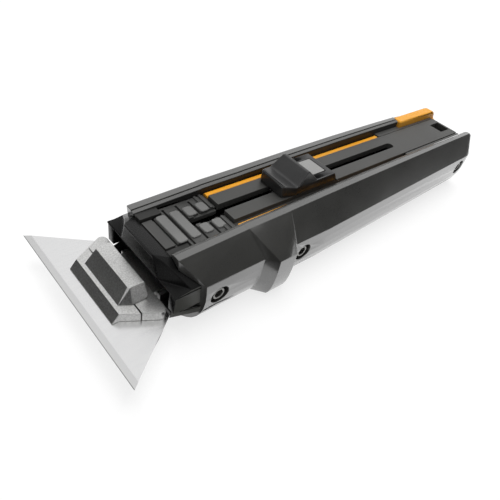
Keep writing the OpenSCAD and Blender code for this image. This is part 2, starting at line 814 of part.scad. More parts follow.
module head_plate() {
    color(satin_steel) placed() difference() {
        union() {
            intersection() {
                translate([0, 0, jaw_base_z]) linear_extrude(jaw_top_z - jaw_base_z) head_plan(0);
                slab(seam_x + seam_gap, head_rear_x, head_rear_half_w, jaw_base_z, jaw_top_z);
            }
            slab(head_rear_x - over, tang_rear_x, tang_half_w, jaw_base_z, tang_z);
            slab(blade_depth + tang_step, tang_rear_x, tang_half_w, lower_jaw_z, tang_z);
            across(lug_half_w) {
                translate([jaw_pin_x, jaw_pin_z]) circle(r = lug_r);
                translate([jaw_pin_x - lug_r, jaw_top_z - over])
                    square([2 * lug_r, jaw_pin_z - jaw_top_z + over]);
            }
        }
        cross_rod(jaw_pin_x, jaw_pin_z, jaw_pin_r + pin_play, -lug_half_w - over, lug_half_w + over);
        mirrored() translate([rivet_x, rivet_y, 0]) cylinder(r = rivet_r + pin_play, h = tang_z + over);
    }
}

module head_rivets() {
    color(satin_steel) placed() mirrored() translate([rivet_x, rivet_y, 0]) {
        translate([0, 0, carrier_z]) cylinder(r = rivet_r, h = tang_z - carrier_z);
        translate([0, 0, tang_z]) cylinder(r = rivet_head_r, h = rivet_head_t);
    }
}

module blade_studs() {
    color(satin_steel) placed() mirrored() translate([stud_x, stud_y, carrier_top_z])
        cylinder(r = stud_r, h = jaw_base_z - carrier_top_z);
}

// Trapezoid blade with a ground edge and two notches in its back
module blade_solid() {
    difference() {
        intersection() {
            linear_extrude(blade_thick) polygon([[0, -blade_len / 2], [blade_depth, -blade_back_len / 2],
                [blade_depth, blade_back_len / 2], [0, blade_len / 2]]);
            across(blade_len / 2) polygon([[0, blade_thick / 2], [blade_bevel_w, 0], [blade_depth, 0],
                [blade_depth, blade_thick], [blade_bevel_w, blade_thick]]);
        }
        mirrored() translate([blade_depth - notch_depth, stud_y - notch_half_w, -over])
            cube([notch_depth + over, 2 * notch_half_w, blade_thick + 2 * over]);
    }
}

module blade() {
    color(blade_steel) placed() translate([0, 0, blade_base_z]) blade_solid();
}

module jaw_pin() {
    color(satin_steel) placed()
        cross_rod(jaw_pin_x, jaw_pin_z, jaw_pin_r, -jaw_pin_half_len, jaw_pin_half_len);
}

module front_jaw() {
    rear_x = seam_x - seam_gap;
    color(satin_steel) placed() intersection() {
        translate([0, 0, jaw_base_z]) linear_extrude(jaw_top_z - jaw_base_z) head_plan(0);
        across(head_rear_half_w) polygon([[jaw_front_x, jaw_base_z], [jaw_front_x, jaw_base_z + jaw_bevel_edge],
            [jaw_front_x + jaw_bevel_run, jaw_top_z], [rear_x, jaw_top_z], [rear_x, jaw_base_z]]);
    }
}

// Bevelled block on the front jaw, with a round heel and a pocket for the head plate's lug
module clamp_block() {
    foot = [[block_front_x, block_front_half_w], [block_side_x, block_half_w], [block_rear_x, block_half_w]];
    crown = [[block_top_front_x, block_top_half_w - block_top_corner],
             [block_top_front_x + block_top_corner, block_top_half_w],
             [block_top_rear_x, block_top_half_w]];
    color(satin_steel) placed() difference() {
        loft([for (s = [[foot, jaw_top_z], [crown, block_top_z]])
            concat([for (i = [0:2]) [s[0][i][0], -s[0][i][1], s[1]]],
                   [for (i = [2:-1:0]) [s[0][i][0], s[0][i][1], s[1]]])]);
        across(block_half_w + over) difference() {
            union() {
                translate([seam_x - seam_gap, jaw_top_z - over])
                    square([block_rear_x - seam_x + over, over + fit_gap]);
                translate([jaw_pin_x, jaw_top_z - over]) square([heel_r * 2, jaw_pin_z - jaw_top_z + over]);
            }
            translate([jaw_pin_x, jaw_pin_z]) circle(r = heel_r);
        }
        slab(jaw_pin_x - lug_pocket_r, block_rear_x + over, lug_half_w + run_gap, jaw_top_z - over,
             jaw_pin_z + lug_pocket_h);
        cross_rod(jaw_pin_x, jaw_pin_z, jaw_pin_r + pin_play, -jaw_pin_half_len - fit_gap,
                  jaw_pin_half_len + fit_gap);
    }
}

// Pressed channel that carries the head at its front and the post at its rear
module blade_carrier() {
    color(satin_steel) placed() difference() {
        slab(carrier_front_x, carrier_rear_x, carrier_half_w, carrier_z, flange_top_z);
        slab(carrier_front_x - over, carrier_rear_x + over, carrier_half_w - carrier_t, carrier_top_z,
             flange_top_z + over);
        mirrored() translate([rivet_x, rivet_y, 0]) cylinder(r = rivet_r + pin_play, h = flange_top_z);
        for (i = [0:window_count - 1])
            slab(window_x + i * window_pitch, window_x + i * window_pitch + window_len, window_half_w,
                 carrier_z - over, carrier_top_z + over);
    }
}

neck_half_w = slot_half_w - neck_gap;
neck_top_z = slider_top_z - neck_drop;
neck_rear_x = slider_rear_x - neck_rear_inset;
coil_x = tongue_x + stem_len / 2;
coil_base_z = post_z - coil_pocket_depth;
slider_pin_axis_x = slider_front_x + slider_pin_x;
slider_pin_axis_z = slider_z + slider_pin_z;

// Block on the carrier whose two necks pass up through the slot
module carrier_post() {
    color(satin_steel) placed() difference() {
        union() {
            slab(post_front_x, slider_rear_x, post_half_w, carrier_top_z, post_z);
            slab(post_front_x, post_front_x + neck_front_len, neck_half_w, post_z - over, neck_top_z);
            slab(neck_rear_x - neck_rear_len, neck_rear_x, neck_half_w, post_z - over, neck_top_z);
        }
        cross_rod(slider_pin_axis_x, slider_pin_axis_z, slider_pin_r + pin_play, -slot_half_w, slot_half_w);
        translate([coil_x, 0, coil_base_z]) cylinder(r = coil_pocket_r, h = post_z);
    }
}

// Runners that ride on the carrier's flanges between the frame's walls
module carrier_shoes() {
    outer = guide_half_w - run_gap;
    top = guide_top_z - run_gap;
    color(black_plastic) placed() mirrored() along(post_front_x - shoe_lead, slider_rear_x)
        polygon([[carrier_half_w, shoe_skirt_z], [outer, shoe_skirt_z], [outer, top],
                 [outer - shoe_w, top], [outer - shoe_w, flange_top_z], [carrier_half_w, flange_top_z]]);
}

// Side profile of the slider with its front lip, thumb scoop and ridge
scoop_x = slider_front_x + lip_len + scoop_len;
ridge_x = scoop_x + ridge_front_len;
ridge_z = slider_top_z + ridge_t;
slider_profile = rounded(
    [[slider_front_x, slider_z], [slider_front_x, slider_top_z + lip_rise],
     [slider_front_x + lip_len, slider_top_z + lip_rise], [scoop_x, slider_top_z - scoop_drop],
     [ridge_x, ridge_z], [ridge_x + ridge_flat_len, ridge_z],
     [ridge_x + ridge_flat_len + ridge_back_len, slider_top_z],
     [slider_rear_x - slider_rear_slope, slider_top_z], [slider_rear_x, slider_z]],
    [0, lip_round, lip_round, lip_round * 2, ridge_round, ridge_round, lip_round, lip_round, 0]);

module slider_button() {
    button_floor_z = slider_top_z - button_t - lock_travel - 2 * fit_gap;
    front_half_w = slider_half_w - slider_lip_inset;
    color(black_plastic) placed() difference() {
        intersection() {
            across(slider_half_w) polygon(slider_profile);
            along(slider_front_x, slider_rear_x) polygon(both_sides(
                [[slider_half_w, slider_z], [slider_half_w, slider_top_z],
                 [slider_half_w - ridge_inset, ridge_z]]));
            translate([0, 0, slider_z]) linear_extrude(ridge_z - slider_z) polygon(rounded(
                [[slider_front_x, -front_half_w], [slider_front_x, front_half_w],
                 [scoop_x, slider_half_w], [slider_rear_x, slider_half_w], [slider_rear_x, -slider_half_w],
                 [scoop_x, -slider_half_w]],
                [for (i = [1:6]) slider_round]));
        }
        slab(slider_front_x + pocket_x, slider_front_x + pocket_x + pocket_len, pocket_half_w,
             button_floor_z, slider_top_z + over);
        slab(tongue_x - run_gap, tongue_x + stem_len + run_gap, stem_half_w + run_gap, slider_z - over,
             slider_top_z);
        slab(post_front_x - fit_gap, post_front_x + neck_front_len + fit_gap, neck_half_w + fit_gap,
             slider_z - over, neck_top_z + fit_gap);
        slab(neck_rear_x - neck_rear_len - fit_gap, neck_rear_x + fit_gap, neck_half_w + fit_gap,
             slider_z - over, neck_top_z + fit_gap);
        cross_rod(slider_pin_axis_x, slider_pin_axis_z, slider_pin_r + pin_play,
                  slider_pin_inset - slider_half_w - fit_gap, slider_half_w - slider_pin_inset + fit_gap);
    }
}

module slider_pin() {
    color(satin_steel) placed() cross_rod(slider_pin_axis_x, slider_pin_axis_z, slider_pin_r,
        slider_pin_inset - slider_half_w, slider_half_w - slider_pin_inset);
}

// Button in the slider, fixed on the tongue's stem
module lock_button() {
    x0 = slider_front_x + pocket_x + button_gap;
    x1 = slider_front_x + pocket_x + pocket_len - button_gap;
    half_w = pocket_half_w - button_gap;
    color(satin_steel) placed() translate([0, 0, slider_top_z - button_t]) linear_extrude(button_t) polygon(rounded(
        [[x0, -half_w], [x0, half_w], [x1, half_w], [x1, -half_w]], [for (i = [1:4]) button_round]));
}

// Tongue that locks in the rack, with the stem that passes up through the slot to the button
module lock_tongue() {
    color(satin_steel) placed() {
        slab(tongue_x, tongue_x + stem_len, tongue_half_w, tongue_z, tongue_top_z);
        slab(tongue_x, tongue_x + stem_len, stem_half_w, tongue_top_z, slider_top_z - button_t);
    }
}

// Coil of round wire as one unbroken tube between the post's pocket and the tongue
module lock_spring() {
    per_turn = 10;
    sides = 6;
    steps = coil_turns * per_turn;
    height = tongue_z - coil_base_z - 2 * coil_wire_r - 2 * fit_gap;
    color(satin_steel) placed() translate([coil_x, 0, coil_base_z + coil_wire_r + fit_gap])
        loft([for (i = [0:steps])
            let (a = 360 * i / per_turn)
            [for (j = [0:sides - 1])
                let (b = -360 * j / sides, r = coil_r + coil_wire_r * cos(b))
                [r * cos(a), r * sin(a), height * i / steps + coil_wire_r * sin(b)]]]);
}

// Orange end of the right rail, with the web that carries the tray
module magazine_tab() {
    color(orange_plastic) placed() {
        intersection() {
            along(tab_x, tray_rear_x) polygon(rounded(
                [[tab_inner_y, tab_base_z], [tab_outer_y, tab_base_z], [tab_outer_y, tab_z],
                 [tab_inner_y, tab_z]], [0, 0, strip_round, tab_round]));
            across(body_half_w) polygon(rounded(
                [[tab_x, tab_base_z], [tray_rear_x, tab_base_z], [tray_rear_x, tab_z], [tab_x, tab_z]],
                [0, 0, tab_tail_round, 0]));
        }
        block(tail_wall_x + fit_gap, tray_rear_x, web_inner_y, web_outer_y, tray_top_z, tab_base_z + fit_gap);
    }
}

module magazine_tray() {
    color(black_plastic) placed() difference() {
        slab(tray_x, tray_rear_x, tray_half_w, tray_z, tray_top_z);
        slab(tray_x + tray_t, tail_wall_x, tray_half_w - tray_t, tray_z + tray_t, tray_top_z + over);
    }
}

// Spare blades lying lengthwise in the tray
module spare_blades() {
    color(blade_steel) placed() for (i = [0:spare_count - 1])
        translate([tray_x + tray_t + run_gap + blade_len / 2, -blade_depth / 2,
                   tray_z + tray_t + spare_gap + i * (blade_thick + spare_gap)])
            rotate([0, 0, 90]) blade_solid();
}

// Leaf under the frame's roof that keeps the tray from sliding out
module magazine_spring() {
    low = tray_top_z + fit_gap;
    color(satin_steel) placed() across(leaf_half_w)
        polygon([[leaf_x, roof_z - leaf_t], [leaf_x + leaf_len / 3, roof_z - leaf_t],
                 [leaf_x + leaf_len * 2 / 3, low], [leaf_x + leaf_len, low + leaf_t],
                 [leaf_x + leaf_len, low + leaf_t * 2], [leaf_x + leaf_len * 2 / 3, low + leaf_t],
                 [leaf_x + leaf_len / 3, roof_z], [leaf_x, roof_z]]);
}

left_shell();
right_shell();
inner_frame();
nose_housing();
top_plate();
thumb_pad();
left_accent_strip();
right_accent_strip();
body_screws();
screw_inserts();
lock_rack();
blade_carrier();
carrier_post();
carrier_shoes();
lower_jaw();
head_plate();
head_rivets();
blade_studs();
blade();
jaw_pin();
slider_button();
slider_pin();
front_jaw();
clamp_block();
lock_button();
lock_tongue();
lock_spring();
magazine_tab();
magazine_tray();
spare_blades();
magazine_spring();
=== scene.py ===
# %% [markdown]
# # A razor blade scraper, finished in Blender
# The solids come from the packed part and stay where they are. This lesson dresses them: it
# rounds their edges, builds what repeats with Geometry Nodes, gives every piece a procedural
# finish, and sets up a plain studio with the camera at the photograph's place. All lengths are in
# metres.

# %% Load the packed part
import json
import math

import bmesh
import bpy
from mathutils import Matrix, Vector

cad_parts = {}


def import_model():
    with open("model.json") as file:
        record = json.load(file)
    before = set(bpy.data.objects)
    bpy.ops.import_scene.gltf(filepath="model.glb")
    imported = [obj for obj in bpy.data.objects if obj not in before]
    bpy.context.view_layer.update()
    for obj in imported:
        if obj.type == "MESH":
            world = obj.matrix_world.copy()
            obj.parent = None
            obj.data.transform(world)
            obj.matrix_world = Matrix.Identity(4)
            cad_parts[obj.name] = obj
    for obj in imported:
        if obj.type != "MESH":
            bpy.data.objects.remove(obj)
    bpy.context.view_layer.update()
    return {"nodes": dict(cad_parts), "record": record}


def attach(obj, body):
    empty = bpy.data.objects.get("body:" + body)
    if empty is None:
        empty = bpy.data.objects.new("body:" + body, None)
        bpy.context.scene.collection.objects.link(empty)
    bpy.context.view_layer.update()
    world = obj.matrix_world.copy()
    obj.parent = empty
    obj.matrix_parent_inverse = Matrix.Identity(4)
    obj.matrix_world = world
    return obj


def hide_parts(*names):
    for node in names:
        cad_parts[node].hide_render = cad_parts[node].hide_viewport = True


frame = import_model()
scene = bpy.context.scene
MM = 0.001

# %% [markdown]
# ## Camera
# The standard blade in the jaw is 61 mm long, so its corners fix the camera. The place and the
# three axes below come from that fit, and a lens of 35.3 mm on a 36 mm sensor gives the
# photograph's field.

# %% Camera
CAMERA_PLACE = Vector((-122.93, -82.49, 110.50)) * MM
CAMERA_RIGHT = Vector((0.74596, -0.64111, 0.18036))
CAMERA_UP = Vector((0.33666, 0.59666, 0.72846))
CAMERA_BACK = Vector((-0.57464, -0.48268, 0.66092))

camera_data = bpy.data.cameras.new("camera")
camera_data.sensor_width = 36
camera_data.lens = 35.28
camera_data.clip_start = 0.005
camera_data.clip_end = 20
camera = bpy.data.objects.new("camera", camera_data)
scene.collection.objects.link(camera)
axes = Matrix((CAMERA_RIGHT, CAMERA_UP, CAMERA_BACK)).transposed()
camera.matrix_world = Matrix.Translation(CAMERA_PLACE) @ axes.to_4x4()
scene.camera = camera
scene.view_settings.view_transform = "Standard"
print("camera looks along", tuple(round(-x, 3) for x in CAMERA_BACK))

# %% [markdown]
# ## Sums on nodes
# A finish or a shape is easier to read as a formula. The small class below wraps a socket, so
# that adding or multiplying two values adds the Math node that does it. It works in shaders and
# in Geometry Nodes.

# %% Values
class Value:
    """A number, colour or mesh that flows through a graph, held as a node's output."""

    def __init__(self, graph, socket):
        self.graph = graph
        self.socket = socket

    def sum(self, operation, a, b):
        return self.graph.node("ShaderNodeMath", {"operation": operation}, {0: a, 1: b}).out()

    def __add__(self, other):
        return self.sum("ADD", self, other)

    def __radd__(self, other):
        return self.sum("ADD", other, self)

    def __sub__(self, other):
        return self.sum("SUBTRACT", self, other)

    def __rsub__(self, other):
        return self.sum("SUBTRACT", other, self)

    def __mul__(self, other):
        return self.sum("MULTIPLY", self, other)

    def __rmul__(self, other):
        return self.sum("MULTIPLY", other, self)


print("reflected sums:", [name for name in vars(Value) if name.startswith("__r")])

# %% [markdown]
# ### Graphs
# Every node comes from one method, which takes the node's type, its settings and the values or
# links of its sockets. A list of values is linked into one socket, as Join Geometry needs.

# %% Graphs
class Made:
    """A node that has been placed, and its outputs by name or number."""

    def __init__(self, graph, placed):
        self.graph = graph
        self.placed = placed

    def out(self, name=0):
        return Value(self.graph, self.placed.outputs[name])


class Graph:
    """A node tree that is built node by node."""

    def __init__(self, tree):
        self.tree = tree
        self.tree.nodes.clear()

    def node(self, kind, settings=None, values=None):
        placed = self.tree.nodes.new(kind)
        for name, value in (settings or {}).items():
            setattr(placed, name, value)
        for name, value in (values or {}).items():
            for one in value if isinstance(value, list) else [value]:
                if isinstance(one, Value):
                    self.tree.links.new(one.socket, placed.inputs[name])
                else:
                    placed.inputs[name].default_value = one
        return Made(self, placed)

    def remap(self, value, low, high, to_low=0.0, to_high=1.0):
        values = {"Value": value, "From Min": low, "From Max": high,
                  "To Min": to_low, "To Max": to_high}
        return self.node("ShaderNodeMapRange", {"clamp": True}, values).out()

    def seen_rays(self):
        """1 for rays from the camera, a gloss or a glass, and 0 for those that light surfaces."""
        rays = self.node("ShaderNodeLightPath")
        mirrored = rays.out("Is Glossy Ray") + rays.out("Is Transmission Ray")
        return rays.out("Is Camera Ray") + mirrored


print("graph class ready")

# %% [markdown]
# ### Finishes
# A finish is a material. Its patterns are laid out on Object coordinates, so they stay on a piece
# when it moves and when it is exported. Worn edges, and the painted highlights along plastic
# edges,
# come from a Bevel node: where its soft normal turns away from the true one, there is an edge.

# %% Finish of a surface
EDGE_TURN = (0.01, 0.18)
EDGE_SAMPLES = 6
MIX_FACTOR, MIX_A, MIX_B, MIX_RESULT = 0, 6, 7, 2


class Finish(Graph):
    """A material."""

    def __init__(self, name):
        self.material = bpy.data.materials.new(name)
        self.material.use_nodes = True
        super().__init__(self.material.node_tree)
        self.place = self.node("ShaderNodeTexCoord").out("Object")

    def noise(self, scale, detail=2.0, roughness=0.5, place=None):
        values = {"Vector": place or self.place, "Scale": scale, "Detail": detail,
                  "Roughness": roughness}
        return self.node("ShaderNodeTexNoise", {}, values).out(0)

    def stretched(self, scale):
        return self.node("ShaderNodeMapping", {}, {"Vector": self.place, "Scale": scale}).out()

    def along(self, axis):
        return self.node("ShaderNodeSeparateXYZ", {}, {0: self.place}).out(axis)

    def mix(self, factor, a, b):
        values = {MIX_FACTOR: factor, MIX_A: a, MIX_B: b}
        return self.node("ShaderNodeMix", {"data_type": "RGBA"}, values).out(MIX_RESULT)

    def edge(self, radius):
        """1 along the edges within radius and 0 on flat faces."""
        soft = self.node("ShaderNodeBevel", {"samples": EDGE_SAMPLES}, {"Radius": radius}).out()
        true = self.node("ShaderNodeNewGeometry").out("Normal")
        dot = self.node("ShaderNodeVectorMath", {"operation": "DOT_PRODUCT"}, {0: soft, 1: true})
        return self.remap(1.0 - dot.out("Value"), *EDGE_TURN)

    def bump(self, height, strength, distance):
        values = {"Height": height, "Strength": strength, "Distance": distance}
        return self.node("ShaderNodeBump", {}, values).out()

    def end(self, shader):
        self.node("ShaderNodeOutputMaterial", {}, {"Surface": shader.out()})
        return self.material

    def close(self, **sockets):
        values = {name.replace("_", " "): value for name, value in sockets.items()}
        return self.end(self.node("ShaderNodeBsdfPrincipled", {}, values))


def colour(red, green, blue):
    return (red, green, blue, 1.0)


def grey(tone):
    return colour(tone, tone, tone)


print("finish class ready")

# %% [markdown]
# ## Moulded plastic
# The shells, the plate and the nose are moulded, with the fine spark grain that a mould leaves.
# Grain is a fine noise in the bump and in the roughness. Handling polishes the edges and dulls
# broad faces, which a slow noise and an edge mask give. The edge mask also lightens the colour of
# the edges, partly as wear and partly as a painted highlight, most on the slider, the ears and
# the pad's ribs. The shells are the glossiest: a clear coat with a high index brightens them
# towards their lower edge, where they are seen at a low angle.

# %% Plastic finishes
HANDLED_AND_HIGHLIT_EDGE = 0.45 * MM
CLOUD_SCALE, CLOUD_BAND, CLOUD_WEAR = 38.0, (0.35, 0.65), 0.3
SCUFF_SCALE, SCUFF_BAND, SCUFF_WEAR = 160.0, (0.58, 0.72), 0.10
SCUFF_STRETCH = (0.25, 1.0, 1.0)
GRAIN_BUMP = 0.35
COAT_ROUGHNESS = 0.12


def plastic(name, base, worn_and_highlit, rough, grain, depth, gloss=0.5, coat=0.0, edge_wear_and_highlight=0.5, coat_ior=1.5):
    finish = Finish(name)
    broad = finish.noise(CLOUD_SCALE, 3.0)
    fine = finish.noise(grain, 2.0, 0.6)
    worn_and_highlit_edge = finish.edge(HANDLED_AND_HIGHLIT_EDGE)
    scratches = finish.noise(SCUFF_SCALE, 4.0, 0.65, finish.stretched(SCUFF_STRETCH))
    scuff = finish.remap(scratches, *SCUFF_BAND)
    tone = finish.mix(finish.remap(broad, *CLOUD_BAND, 0.0, CLOUD_WEAR), base, worn_and_highlit)
    # Lighter edges: partly wear, partly a painted highlight.
    tone = finish.mix(worn_and_highlit_edge * edge_wear_and_highlight, tone, worn_and_highlit)
    tone = finish.mix(scuff * SCUFF_WEAR, tone, worn_and_highlit)
    roughness = rough + (broad - 0.5) * 0.08 + (fine - 0.5) * 0.12
    roughness = roughness + scuff * 0.06 - worn_and_highlit_edge * 0.05
    return finish.close(Base_Color=tone, Roughness=roughness, Specular_IOR_Level=gloss,
                        Coat_Weight=coat, Coat_Roughness=COAT_ROUGHNESS, Coat_IOR=coat_ior,
                        Normal=finish.bump(fine, GRAIN_BUMP, depth))


SHELL_PLASTIC = plastic("shell_plastic", colour(0.041, 0.041, 0.038), colour(0.12, 0.12, 0.113),
                        rough=0.30, grain=3800.0, depth=0.012 * MM, gloss=1.0, coat=1.0,
                        coat_ior=1.8)
CHANNEL_PLASTIC = plastic("channel_plastic", colour(0.022, 0.022, 0.021),
                          colour(0.07, 0.07, 0.068), rough=0.5, grain=3800.0, depth=0.02 * MM,
                          gloss=0.35)
PLATE_PLASTIC = plastic("plate_plastic", colour(0.060, 0.060, 0.057), colour(0.12, 0.12, 0.115),
                        rough=0.44, grain=4200.0, depth=0.03 * MM)
BLACK_PLASTIC = plastic("black_plastic", grey(0.004), grey(0.03),
                        rough=0.26, grain=2600.0, depth=0.01 * MM, gloss=0.16)
# The slider, the ear sides and the ribs get the strongest edge lightening, partly wear and partly
# a painted highlight.
SLIDER_PLASTIC = plastic("slider_plastic", grey(0.006), grey(0.16),
                         rough=0.30, grain=4200.0, depth=0.02 * MM, gloss=0.7, edge_wear_and_highlight=0.8)
EAR_PLASTIC = plastic("ear_plastic", colour(0.075, 0.077, 0.068), colour(0.20, 0.20, 0.18),
                      rough=0.5, grain=2600.0, depth=0.05 * MM, gloss=0.6, edge_wear_and_highlight=0.8)
ORANGE_PLASTIC = plastic("orange_plastic", colour(1.0, 0.43, 0.022), colour(1.0, 0.55, 0.12),
                         rough=0.42, grain=2600.0, depth=0.008 * MM, gloss=0.4, edge_wear_and_highlight=0.35)
RUBBER = plastic("pad_rubber", colour(0.15, 0.15, 0.147), colour(0.40, 0.40, 0.39),
                 rough=0.42, grain=4600.0, depth=0.04 * MM, gloss=0.6, edge_wear_and_highlight=0.8)
# The pad under the ribs is painted far darker than the rubber ribs: a painted shade for the
# grooves between them.
PAD_GROOVE_SHADE = plastic("pad_plastic", colour(0.050, 0.050, 0.048), colour(0.15, 0.15, 0.147),
                      rough=0.50, grain=4600.0, depth=0.04 * MM, edge_wear_and_highlight=0.6)
print("plastics made")

# %% [markdown]
# ## Metals
# The head is blasted steel with an even fine grain, which shows as light and dark specks. Screws
# and pressed parts have a turned or rolled grain and a few darker stains.

# %% Metal finishes
POLISHED_EDGE = 0.3 * MM
EVEN, ROLLED, TURNED = (1.0, 1.0, 1.0), (0.1, 1.0, 1.0), (1.0, 0.2, 1.0)
TARNISH_SCALE, SPOT_SCALE = 70.0, 420.0
TARNISH_SHARE, SPOT_SHARE, SPECK_SHARE = 0.25, 0.15, 0.55


def metal_tone(finish, base, stain, grain):
    tarnish = finish.remap(finish.noise(TARNISH_SCALE, 4.0, 0.55), 0.35, 0.7, 0.0, TARNISH_SHARE)
    spots = finish.remap(finish.noise(SPOT_SCALE, 5.0, 0.7), 0.62, 0.74)
    specks = finish.remap(grain, 0.35, 0.65)
    return finish.mix(tarnish + spots * SPOT_SHARE + specks * SPECK_SHARE, base, stain)


def metal(name, base, stain, rough, grain, stretch, depth):
    finish = Finish(name)
    fine = finish.noise(grain, 3.0, 0.6, finish.stretched(stretch))
    roughness = rough + (fine - 0.5) * 0.20 - finish.edge(POLISHED_EDGE) * 0.06
    return finish.close(Base_Color=metal_tone(finish, base, stain, fine), Metallic=1.0,
                        Roughness=roughness, Normal=finish.bump(fine, 0.4, depth))


HEAD_STEEL = metal("head_steel", colour(0.88, 0.88, 0.87), colour(0.46, 0.46, 0.45),
                   rough=0.32, grain=2400.0, stretch=EVEN, depth=0.03 * MM)
SCREW_STEEL = metal("screw_steel", colour(0.36, 0.36, 0.35), colour(0.18, 0.18, 0.17),
                    rough=0.34, grain=3000.0, stretch=TURNED, depth=0.01 * MM)
INNER_STEEL = metal("inner_steel", colour(0.55, 0.55, 0.54), colour(0.38, 0.38, 0.37),
                    rough=0.38, grain=2600.0, stretch=ROLLED, depth=0.01 * MM)
BUTTON_METAL = metal("button_metal", colour(0.55, 0.55, 0.54), colour(0.36, 0.36, 0.35),
                     rough=0.42, grain=3600.0, stretch=EVEN, depth=0.02 * MM)
BRASS = metal("brass", colour(0.60, 0.45, 0.20), colour(0.40, 0.28, 0.12),
              rough=0.35, grain=2600.0, stretch=EVEN, depth=0.01 * MM)
print("metals made")

# %% [markdown]
# ### Blade
# The blade is bright strip steel. Its scratches run square to the cutting edge, so the noise is
# stretched along X. The band along the edge is ground a little duller, and the edge itself is
# painted dark grey: a painted shade for its narrow bevel. Both bands follow the X of the Object
# coordinates, so that they need no faces of their own.

# %% Blade finish
BLADE_BAND_X, BLADE_SHADED_EDGE_X = -87.2 * MM, -88.85 * MM
BAND_FADE, SHADED_EDGE_FADE = 0.1 * MM, 0.06 * MM
SCRATCH_SCALE, SCRATCH_STRETCH = 1500.0, (0.12, 1.0, 1.0)


def ground_blade(name):
    finish = Finish(name)
    along = finish.along("X")
    band = finish.remap(along, BLADE_BAND_X, BLADE_BAND_X + BAND_FADE, 1.0, 0.0)
    painted_shade_edge = finish.remap(along, BLADE_SHADED_EDGE_X, BLADE_SHADED_EDGE_X + SHADED_EDGE_FADE, 1.0, 0.0)
    scratch = finish.noise(SCRATCH_SCALE, 3.0, 0.6, finish.stretched(SCRATCH_STRETCH))
    tone = finish.mix(finish.remap(scratch, 0.3, 0.7), grey(0.93), colour(0.90, 0.90, 0.905))
    tone = finish.mix(band, tone, grey(0.80))
    # The edge is painted dark grey, a painted shade for its narrow bevel.
    tone = finish.mix(painted_shade_edge, tone, grey(0.30))
    roughness = 0.26 + (scratch - 0.5) * 0.06 + band * 0.08
    return finish.close(Base_Color=tone, Metallic=1.0, Roughness=roughness,
                        Normal=finish.bump(scratch, 0.08, 0.001 * MM))


BLADE_STEEL = ground_blade("blade_steel")
print("blade finish made")

# %% [markdown]
# ## Finishes on the solids
# Hidden pieces and the blade keep their solid and only get a finish. The other visible ones are
# dressed in later steps. One list per finish keeps it easy to see what is made of what.

# %% Finish of every node
NODE_FINISH = {
    SHELL_PLASTIC: ["left_shell", "right_shell"],
    PLATE_PLASTIC: ["top_plate"],
    PAD_GROOVE_SHADE: ["thumb_pad"],
    BLACK_PLASTIC: ["nose_housing", "inner_frame", "carrier_shoes", "magazine_tray"],
    SLIDER_PLASTIC: ["slider_button"],
    ORANGE_PLASTIC: ["left_accent_strip", "right_accent_strip", "magazine_tab"],
    HEAD_STEEL: ["lower_jaw", "head_plate", "front_jaw", "clamp_block"],
    BLADE_STEEL: ["blade", "spare_blades"],
    SCREW_STEEL: ["body_screws", "head_rivets", "blade_studs", "jaw_pin", "slider_pin"],
    INNER_STEEL: ["blade_carrier", "carrier_post", "lock_rack", "lock_tongue", "lock_spring",
                  "magazine_spring"],
    BUTTON_METAL: ["lock_button"],
    BRASS: ["screw_inserts"],
}


def give_finish(piece, material):
    piece.data.materials.clear()
    piece.data.materials.append(material)


finish_of = {node: material for material, nodes in NODE_FINISH.items() for node in nodes}
for node, material in finish_of.items():
    give_finish(frame["nodes"][node], material)
bodies = frame["record"]["behaviour"]["bodies"]
body_of = {node: body for body, nodes in bodies.items() for node in nodes}
print("finished nodes:", len(finish_of), "of", len(frame["nodes"]))

# %% [markdown]
# ## Rounded edges
# No moulded or machined edge is perfectly sharp, and the thin highlight on a rounded edge is what
# makes a part look real. A copy of the solid's mesh is cleaned: doubles are merged and flat faces
# are joined. A Bevel modifier then rounds what is sharper than a set angle, and the rest is
# shaded smooth. The sharp edges are marked before the bevel, because marking them afterwards
# would spoil its normals.

# %% Tools for a rounded copy
SAME_POINT = 2e-6


def new_piece(name, mesh):
    piece = bpy.data.objects.new(name, mesh)
    scene.collection.objects.link(piece)
    return piece


def flatten(piece):
    """Turns the modifiers' result into the piece's own mesh."""
    evaluated = piece.evaluated_get(bpy.context.evaluated_depsgraph_get())
    mesh = bpy.data.meshes.new_from_object(evaluated)
    mesh.name = piece.name
    piece.modifiers.clear()
    piece.data = mesh
    return piece


def clean_copy(node, flat=0.8):
    """A copy of the solid, with faces joined that lie flat within so many degrees."""
    mesh = frame["nodes"][node].data.copy()
    work = bmesh.new()
    work.from_mesh(mesh)
    bmesh.ops.remove_doubles(work, verts=work.verts, dist=SAME_POINT)
    bmesh.ops.dissolve_limit(work, angle_limit=math.radians(flat), verts=work.verts,
                             edges=work.edges)
    work.to_mesh(mesh)
    work.free()
    mesh.shade_smooth()
    return new_piece(node + "_finished", mesh)


def round_edges(piece, width, angle=28.0, segments=2):
    piece.data.set_sharp_from_angle(angle=math.radians(angle))
    bevel = piece.modifiers.new("rounding", "BEVEL")
    bevel.limit_method = "ANGLE"
    bevel.angle_limit = math.radians(angle)
    bevel.width = width
    bevel.segments = segments
    bevel.use_clamp_overlap = False
    bevel.miter_outer = "MITER_ARC"
    bevel.harden_normals = True
    return flatten(piece)


def install(piece, node):
    """Puts a finished piece in the place of its solid, on the same body."""
    give_finish(piece, finish_of[node])
    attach(piece, body_of[node])
    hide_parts(node)
    print(piece.name, "faces:", len(piece.data.polygons))
    return piece


print("tools ready")

# %% [markdown]
# ### Pieces with rounded edges
# Pressed and machined pieces get a fine edge and moulded ones a softer one. The pull tab of the
# magazine is the roundest, because a finger pulls it. The widths are in millimetres. The outer
# sides of the nose's ears have a coarser, lighter finish than the rest of the nose.

